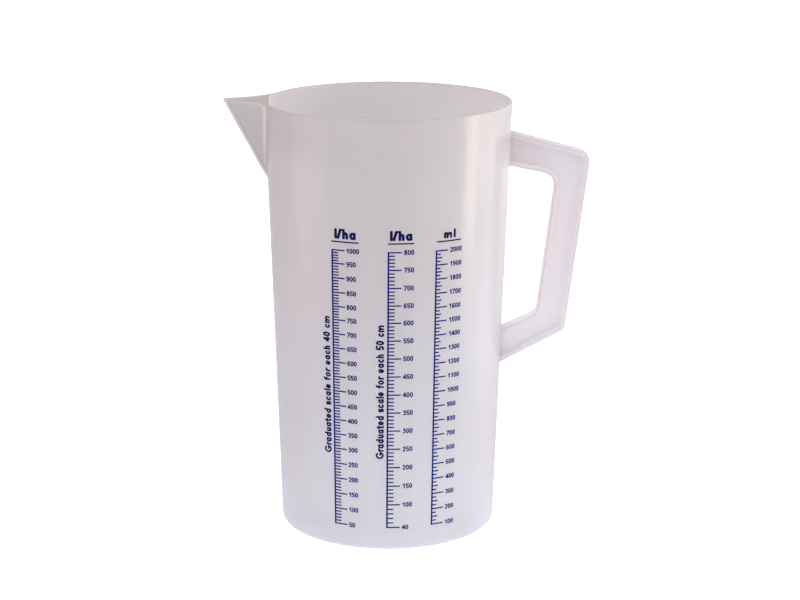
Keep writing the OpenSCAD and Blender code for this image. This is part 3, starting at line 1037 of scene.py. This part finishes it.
def handle_light(p):
    y = abs(p.y)
    outer, inner = path_distance(p, OUTER_RAIL), path_distance(p, GAP_RAIL)
    inward = min(outer, inner)
    # painted highlight at the gap's edge, painted shade on the outside, the flange and the web
    if inward < 0.2:
        return GAP_PAINT if inner < outer else OUTSIDE_PAINT
    if y > GRIP_HALF - 0.6:
        rim = FLANGE_PAINT if inward < FLANGE - 0.2 else 0.0
        return CORNER_PAINT * bell(inward - FLANGE, CORNER_WIDTH) + rim
    if y > WEB_HALF + 0.4:
        return FACE_PAINT
    return WEB_PAINT * ramp(p.x, 96.0, 72.0) * ramp(p.z, 192.0, 204.0)


paint(vessel, shell_light)
paint(spout, spout_light)
paint(handle, handle_light)


# ---------------------------------------------------------------- materials
class Shader:
    """Node tree of a material or world. An input given a socket is linked, otherwise set."""

    def __init__(self, owner, output="OutputMaterial"):
        owner.use_nodes = True
        self.tree = owner.node_tree
        self.tree.nodes.clear()
        self.output = self.add(output)
        self.coordinates = self.add("TexCoord").outputs

    def add(self, kind, inputs=None, **settings):
        node = self.tree.nodes.new("ShaderNode" + kind)
        for key, value in settings.items():
            setattr(node, key, value)
        for key, value in (inputs or {}).items():
            if isinstance(value, bpy.types.NodeSocket):
                self.tree.links.new(value, node.inputs[key])
            else:
                node.inputs[key].default_value = value
        return node

    def surface(self, node):
        self.tree.links.new(node.outputs[0], self.output.inputs["Surface"])

    def mapped(self, scale=(1, 1, 1), shift=(0, 0, 0)):
        return self.add("Mapping", {"Scale": scale, "Location": shift,
                                    "Vector": self.coordinates["Object"]}).outputs["Vector"]

    def noise(self, vector, scale, detail=2.0, roughness=0.5, output="Fac"):
        return self.add("TexNoise", {"Scale": scale, "Detail": detail, "Roughness": roughness,
                                     "Vector": vector}).outputs[output]

    def ranged(self, value, start, end, first=0.0, last=1.0, **settings):
        """Maps start..end to first..last."""
        return self.add("MapRange", {"Value": value, "From Min": start, "From Max": end,
                                     "To Min": first, "To Max": last},
                        **settings).outputs["Result"]

    def mix(self, factor, first, second, blend="MIX"):
        return self.add("MixRGB", {"Fac": factor, "Color1": first, "Color2": second},
                        blend_type=blend).outputs["Color"]

    def math(self, operation, *values):
        return self.add("Math", dict(enumerate(values)), operation=operation).outputs["Value"]

    def attribute(self, name):
        return self.add("Attribute", attribute_name=name).outputs["Fac"]

    def bump(self, height, strength, distance, **inputs):
        return self.add("Bump", {"Height": height, "Strength": strength, "Distance": distance,
                                 **inputs}).outputs["Normal"]


def toned(tint, *gains):
    return tuple(min(1.0, t * k) for t, k in zip(tint, gains)) + (1,)


def add_prow(shader, colour, tint, xyz):
    """Painted highlight along the fold: a paler strip, with a painted dark line of the inner corner
    beside it.
    """
    from_middle = shader.math("ABSOLUTE", xyz["Y"])

    def away_from(distance):
        return shader.math("ABSOLUTE", shader.math("SUBTRACT", from_middle, distance))

    corner, strip = away_from(0.00262), away_from(0.0013)
    colour = shader.mix(shader.ranged(strip, 0.0005, 0.0012, first=0.9, last=0.0),
                        colour, toned(tint, 1.23, 1.20, 1.17))
    corner_shade = shader.math(
        "MULTIPLY", shader.ranged(corner, 0.00010, 0.00050, first=0.30, last=0.0),
        shader.ranged(xyz["Z"], 0.2418, 0.2432, first=1.0, last=0.0))
    return shader.mix(corner_shade, colour, (0.10, 0.09, 0.08, 1))


def resin_colour(shader, tint, seed, light_gain, rim_shade_tint, prow):
    # clouds in the milky resin, the flow of the melt up the wall, and specks
    clouds = shader.noise(shader.mapped((1, 1, 0.7), (seed, 0, 0)), scale=15.0, detail=3.0)
    flow = shader.noise(shader.mapped((1, 1, 0.05), (0, seed, 0)), scale=55.0)
    specks = shader.noise(shader.mapped(shift=(0, 0, seed)), scale=520.0, detail=1.0)
    pink = toned(tint, 1.018, 0.990, 0.975)
    cool = toned(tint, 0.985, 1.004, 1.018)
    colour = shader.mix(shader.ranged(clouds, 0.3, 0.7), pink, cool)
    colour = shader.mix(shader.ranged(flow, 0.35, 0.7, last=0.16),
                        colour, toned(tint, 0.93, 0.93, 0.93))
    colour = shader.mix(shader.ranged(specks, 0.72, 0.80, last=0.35),
                        colour, toned(tint, 0.80, 0.80, 0.80))
    # painted light lightens the tint, painted shade darkens it
    glow = shader.attribute("painted_light")
    colour = shader.mix(glow, colour, toned(tint, *light_gain))
    colour = shader.mix(shader.attribute("painted_shade"), colour, (0.0, 0.0, 0.0, 1))
    # painted warm shade comes in towards the rim, less where light is painted
    xyz = shader.add("SeparateXYZ", {"Vector": shader.coordinates["Object"]}).outputs
    bare = shader.math("MULTIPLY_ADD", glow, -0.55, 1.0)
    high = shader.math("MULTIPLY", shader.ranged(xyz["Z"], 0.115, 0.235), bare)
    colour = shader.mix(high, colour, rim_shade_tint + (1,), "MULTIPLY")
    return add_prow(shader, colour, tint, xyz) if prow else colour


def resin_normals(shader, seed):
    """Slow waviness alone, and the same with a few hairline scuffs and fine grain."""
    wave = shader.noise(shader.mapped((1, 1, 0.35), (seed * 2, 0, 0)), scale=20.0, detail=1.5)
    wavy = shader.bump(wave, strength=0.16, distance=0.0005)
    stretched = shader.mapped((0.35, 0.35, 1.6), (0, 0, seed))
    warp = shader.noise(shader.mapped(shift=(seed, 0, seed)), scale=9.0, output="Color")
    scratch = shader.add("TexVoronoi", {
        "Scale": 30.0, "Vector": shader.mix(0.35, stretched, warp, "ADD"),
    }, feature="DISTANCE_TO_EDGE").outputs["Distance"]
    mask = shader.noise(shader.mapped(shift=(seed, 3, 1)), scale=14.0)
    scuffed = shader.bump(shader.ranged(scratch, 0.0, 0.005), distance=0.00002, Normal=wavy,
                          strength=shader.ranged(mask, 0.60, 0.70, last=0.05))
    grain = shader.noise(shader.mapped(shift=(0, 0, seed)), scale=1100.0)
    return wavy, shader.bump(grain, strength=0.05, distance=0.00003, Normal=scuffed)


THROUGH = 0.50                   # share of the light that passes through the plastic, softly


def milky(name, tint, seed, light_gain, rim_shade_tint, prow=False, coat=1.0):
    """Milky resin. A gain lightens the tint where light is painted; a second tint is painted warm
    shade at the rim.
    """
    material = bpy.data.materials.new(name)
    shader = Shader(material)
    colour = resin_colour(shader, tint, seed, light_gain, rim_shade_tint, prow)
    smear = shader.noise(shader.mapped((1, 1, 0.45), (seed, seed, 0)),
                         scale=26.0, detail=4.0, roughness=0.6)
    wavy, grainy = resin_normals(shader, seed)
    plastic = shader.add("BsdfPrincipled", {
        "Base Color": colour,
        "IOR": 1.49,
        "Coat Weight": coat,
        "Coat Roughness": 0.18,
        "Coat IOR": 1.75,
        "Roughness": shader.ranged(smear, 0.3, 0.7, first=0.30, last=0.44),
        "Normal": grainy,
        "Coat Normal": wavy,
    })
    through = shader.add("BsdfTranslucent", {"Color": colour, "Normal": wavy})
    shader.surface(shader.add("MixShader", {
        "Fac": THROUGH, 1: plastic.outputs["BSDF"], 2: through.outputs["BSDF"]}))
    return material


def ink(name, seed, deep, pale):
    material = bpy.data.materials.new(name)
    shader = Shader(material)
    grain = shader.noise(shader.coordinates["Object"], scale=420.0, detail=3.0)
    patches = shader.noise(shader.mapped(shift=(seed, 0, seed)), scale=24.0)
    both = shader.add("Mix", {"Factor": 0.5, "A": grain, "B": patches}, data_type="FLOAT")
    ramp_node = shader.add("ValToRGB", {"Fac": both.outputs["Result"]})
    stops = ramp_node.color_ramp.elements
    for stop, position, colour in zip(stops, (0.3, 0.72), (deep, pale)):
        stop.position = position
        stop.color = colour + (1,)
    shader.surface(shader.add("BsdfPrincipled", {
        "Base Color": ramp_node.outputs["Color"],
        "IOR": 1.5,
        "Specular IOR Level": 0.07,
        "Roughness": shader.ranged(grain, 0.0, 1.0, first=0.42, last=0.6),
        "Normal": shader.bump(grain, strength=0.15, distance=0.00003),
    }))
    return material


body_resin = milky("milky_polypropylene", tint=(0.748, 0.732, 0.746), seed=1.3,
                   light_gain=(1.235, 1.27, 1.295), rim_shade_tint=(0.950, 0.932, 0.893))
# a darker copy of the resin on the spout: painted shade on its panels
shaded_spout_resin = milky("milky_polypropylene_spout_shaded", tint=(0.648, 0.635, 0.630), seed=2.9,
                    light_gain=(1.42, 1.33, 1.29), rim_shade_tint=(1.0, 1.0, 1.0), prow=True)
# a lighter copy of the resin on the handle: painted light on its thin web and flanges
lit_handle_resin = milky("milky_polypropylene_handle_lit", tint=(0.888, 0.880, 0.912), seed=4.1,
                     light_gain=(1.10, 1.06, 1.02), rim_shade_tint=(0.975, 0.950, 0.935), coat=0.5)
heavy_ink = ink("navy_screen_ink_heavy", seed=0.7,
                deep=(0.0006, 0.0026, 0.044), pale=(0.0013, 0.0062, 0.092))
thin_ink = ink("navy_screen_ink_thin", seed=2.3,
               deep=(0.0007, 0.0070, 0.105), pale=(0.0016, 0.0140, 0.185))


def attach(ob, node, material):
    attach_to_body(ob, "root")
    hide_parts(node)
    ob.data.materials.append(material)


for name in SCALES:
    for kind, material in (("scale", thin_ink), ("numerals", thin_ink),
                           ("heading", heavy_ink), ("caption", heavy_ink)):
        if (name, kind) in prints:
            attach(prints[name, kind], f"{name}_{kind}", material)
attach(vessel, "vessel", body_resin)
attach(spout, "pouring_spout", shaded_spout_resin)
attach(handle, "handle", lit_handle_resin)


# ---------------------------------------------------------------- floor (from here in metres)
GROUND_Z = -0.0002
GROUND_RINGS = [0.05, 0.1, 0.2, 0.4, 0.8, 1.6, 3.2, 6.0, 12.0]
GROUND_AROUND = 96
FAR_GLOW, NEAR_GLOW, SEEN_GLOW = 0.04, 0.86, 0.62


def ground_material():
    """Seen directly the floor is a bright white sweep; towards the object it glows softly,
    most of all just in front of its foot."""
    material = bpy.data.materials.new("pale_floor")
    shader = Shader(material)
    diffuse = shader.add("BsdfDiffuse", {"Color": (0.74, 0.745, 0.765, 1)})
    seen = shader.add("LightPath").outputs["Is Camera Ray"]
    shifted = shader.add("VectorMath", {0: shader.coordinates["Object"], 1: (0.03, 0.15, 0.0)},
                         operation="ADD").outputs["Vector"]
    distance = shader.add("VectorMath", {0: shifted}, operation="LENGTH").outputs["Value"]
    near = shader.ranged(distance, 0.05, 0.30, first=NEAR_GLOW, last=FAR_GLOW,
                         interpolation_type="SMOOTHSTEP")
    strength = shader.add("Mix", {"Factor": seen, "A": near, "B": SEEN_GLOW}, data_type="FLOAT")
    glow = shader.add("Emission", {
        "Strength": strength.outputs["Result"],
        "Color": shader.mix(seen, (0.85, 0.995, 1.14, 1), (0.99, 0.99, 1.0, 1))})
    shader.surface(shader.add("AddShader", {
        0: diffuse.outputs["BSDF"], 1: glow.outputs["Emission"]}))
    return material


def make_ground():
    bm = bmesh.new()
    n = GROUND_AROUND
    angles = [2 * math.pi * i / n for i in range(n)]
    rows = [[bm.verts.new((r * math.cos(a), r * math.sin(a), GROUND_Z)) for a in angles]
            for r in GROUND_RINGS]
    centre = bm.verts.new((0, 0, GROUND_Z))
    fan(bm, centre, rows[0] + rows[0][:1])
    for a, b in zip(rows, rows[1:]):
        for i in range(n):
            bm.faces.new([a[i], b[i], b[(i + 1) % n], a[(i + 1) % n]])
    mesh = bpy.data.meshes.new("floor")
    bm.to_mesh(mesh)
    bm.free()
    ob = link_object("floor", mesh)
    mesh.materials.append(ground_material())


make_ground()


# ---------------------------------------------------------------- surroundings
SKY_FRONT = (0.42, 0.42, 0.43, 1)
# axis, its values where the colour starts and is full, colour: back, right, left, above
SKY_BANDS = [
    ("Y", -0.2, 0.9, (1.05, 1.02, 1.06, 1)),
    ("X", 0.35, 0.98, (1.42, 1.33, 1.33, 1)),
    ("X", -0.45, -0.98, (0.26, 0.20, 0.18, 1)),
    ("Z", 0.22, 0.80, (1.35, 1.31, 1.33, 1)),
]


def make_world():
    world = bpy.data.worlds.new("studio")
    bpy.context.scene.world = world
    shader = Shader(world, "OutputWorld")
    xyz = shader.add("SeparateXYZ", {"Vector": shader.coordinates["Generated"]}).outputs
    colour = SKY_FRONT
    for axis, start, full, band_colour in SKY_BANDS:
        share = shader.ranged(xyz[axis], start, full, interpolation_type="SMOOTHSTEP")
        colour = shader.mix(share, colour, band_colour)
    shader.surface(shader.add("Background", {"Color": colour, "Strength": 1.0}))


make_world()


# ---------------------------------------------------------------- lights
def side_light(name, x, y_range, z_range, radiance, color):
    """Upright soft panel at one side, facing the object."""
    (y0, y1), (z0, z1) = y_range, z_range
    width, height = y1 - y0, z1 - z0
    light = bpy.data.lights.new(name, "AREA")
    light.shape = "RECTANGLE"
    light.size, light.size_y = width, height
    light.energy = radiance * math.pi * width * height
    light.color = color
    ob = link_object(name, light)
    ob.location = (x, (y0 + y1) / 2, (z0 + z1) / 2)
    ob.rotation_euler = (math.pi / 2, 0, math.copysign(math.pi / 2, x))


side_light("right_strip", x=0.60, y_range=(-0.185, -0.045), z_range=(0.012, 0.42),
           radiance=3.6, color=(1.0, 0.90, 0.78))
side_light("right_wide", x=0.70, y_range=(-0.10, 1.50), z_range=(0.03, 0.45),
           radiance=1.62, color=(1.0, 0.955, 0.965))
side_light("left_wide", x=-0.62, y_range=(-0.38, 0.04), z_range=(0.012, 0.50),
           radiance=0.95, color=(1.0, 0.66, 0.62))


# ---------------------------------------------------------------- camera
CAMERA_PLACE = (0.0013, -1.2111, 0.4353)
PITCH_DOWN, YAW, ROLL = math.radians(14.22), math.radians(0.26), math.radians(0.18)


def make_camera():
    data = bpy.data.cameras.new("camera")
    data.sensor_width = 36.0
    data.sensor_fit = "HORIZONTAL"
    data.lens = 98.7525
    data.clip_start, data.clip_end = 0.05, 50
    camera = link_object("camera", data)
    forward = Vector((math.sin(YAW) * math.cos(PITCH_DOWN),
                      math.cos(YAW) * math.cos(PITCH_DOWN), -math.sin(PITCH_DOWN)))
    level = Vector((math.cos(YAW), -math.sin(YAW), 0))
    upright = level.cross(forward)
    right = level * math.cos(ROLL) + upright * math.sin(ROLL)
    up = upright * math.cos(ROLL) - level * math.sin(ROLL)
    matrix = Matrix((right, up, -forward)).transposed().to_4x4()
    matrix.translation = Vector(CAMERA_PLACE)
    camera.matrix_world = matrix
    bpy.context.scene.camera = camera


make_camera()

view = bpy.context.scene.view_settings
view.view_transform = "Standard"
view.look = "None"
view.exposure = 0.0
view.gamma = 1.0
